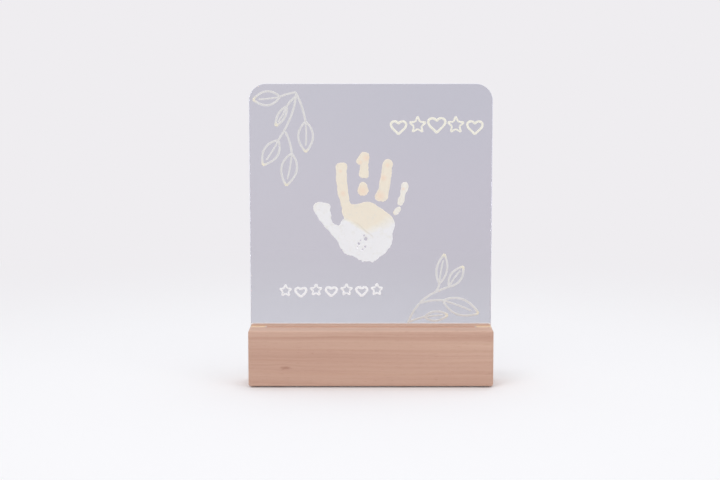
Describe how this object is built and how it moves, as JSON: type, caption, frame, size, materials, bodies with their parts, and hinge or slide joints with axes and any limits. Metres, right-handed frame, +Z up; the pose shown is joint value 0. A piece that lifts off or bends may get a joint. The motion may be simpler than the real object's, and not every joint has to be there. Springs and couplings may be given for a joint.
{
  "type": "illuminated hand print frame",
  "caption": "Clear acrylic sheet with a painted handprint and leaf sprigs, standing in a slotted wooden base that lights its lower edge.",
  "frame": {"origin": "on the surface that the feet stand on, under the middle of the wooden base", "axes": "+Z up along the panel, +X to the right as seen from the front, +Y towards the back with the socket"},
  "size_m": [0.2, 0.04, 0.247],
  "materials": {
    "beech": "fine horizontal grain, sanded, matt oil",
    "tinted_acrylic": "polished, pale grey lilac, lit from below",
    "hand_paint": "hand-pressed acrylic paint",
    "pen_paint": "paint pen line",
    "white_plastic": "moulded, fine satin",
    "grey_plastic": "moulded, fine spark texture",
    "button_plastic": "satin",
    "black_plastic": "moulded",
    "light_board_lacquer": "white solder lacquer",
    "control_board_lacquer": "green solder lacquer",
    "lamp": "warm white lamp",
    "steel": "nickel plated",
    "spring_steel": "drawn wire, nickel plated",
    "cell_sleeve": "printed sleeve without words",
    "silicone": "soft, translucent",
    "red_lead": "insulated lead",
    "black_lead": "insulated lead"
  },
  "bodies": {
    "base": {"battery_lead_black": "black_lead", "battery_lead_red": "red_lead", "bezel_screw_1": "steel", "bezel_screw_2": "steel", "bottom_cover": "white_plastic", "bridge_plate": "steel", "bridge_spring": "spring_steel", "cell_1": "cell_sleeve", "cell_2": "cell_sleeve", "cell_3": "cell_sleeve", "cell_4": "cell_sleeve", "channel_screw_1": "steel", "channel_screw_2": "steel", "control_board": "control_board_lacquer", "cover_screw_1": "steel", "cover_screw_2": "steel", "cover_screw_3": "steel", "cover_screw_4": "steel", "foot_1": "silicone", "foot_2": "silicone", "foot_3": "silicone", "foot_4": "silicone", "led_01": "lamp", "led_02": "lamp", "led_03": "lamp", "led_04": "lamp", "led_05": "lamp", "led_06": "lamp", "led_07": "lamp", "led_08": "lamp", "led_09": "lamp", "led_10": "lamp", "led_11": "lamp", "led_12": "lamp", "led_board": "light_board_lacquer", "light_channel": "white_plastic", "light_lead_black": "black_lead", "light_lead_red": "red_lead", "negative_plate": "steel", "negative_spring": "spring_steel", "positive_plate": "steel", "rear_bezel": "grey_plastic", "switch_body": "black_plastic", "usb_shell": "steel", "usb_tongue": "black_plastic", "wood_base": "beech"},
    "panel": {"acrylic_panel": "tinted_acrylic", "hand_print": "hand_paint", "middle_print_tip": "hand_paint", "middle_print_base": "hand_paint", "ring_print": "hand_paint", "little_print_tip": "hand_paint", "little_print_base": "hand_paint", "sprig_upper": "pen_paint", "sprig_lower": "pen_paint"},
    "power_button": {"power_button": "button_plastic"},
    "battery_lid": {"battery_lid": "white_plastic", "lid_screw_1": "steel", "lid_screw_2": "steel"}
  },
  "joints": [
    {"name": "panel_lift", "type": "slide", "parent": "base", "child": "panel", "axis": [0, 0, 1], "range_m": [0, 0.02]},
    {"name": "power_button_press", "type": "slide", "parent": "base", "child": "power_button", "axis": [0, -1, 0], "range_m": [0, 0.001], "stiffness_N_per_m": 1500, "springref_m": -0.0003},
    {"name": "battery_lid_lift", "type": "slide", "parent": "base", "child": "battery_lid", "axis": [0, 0, -1], "range_m": [0, 0.012]}
  ]
}
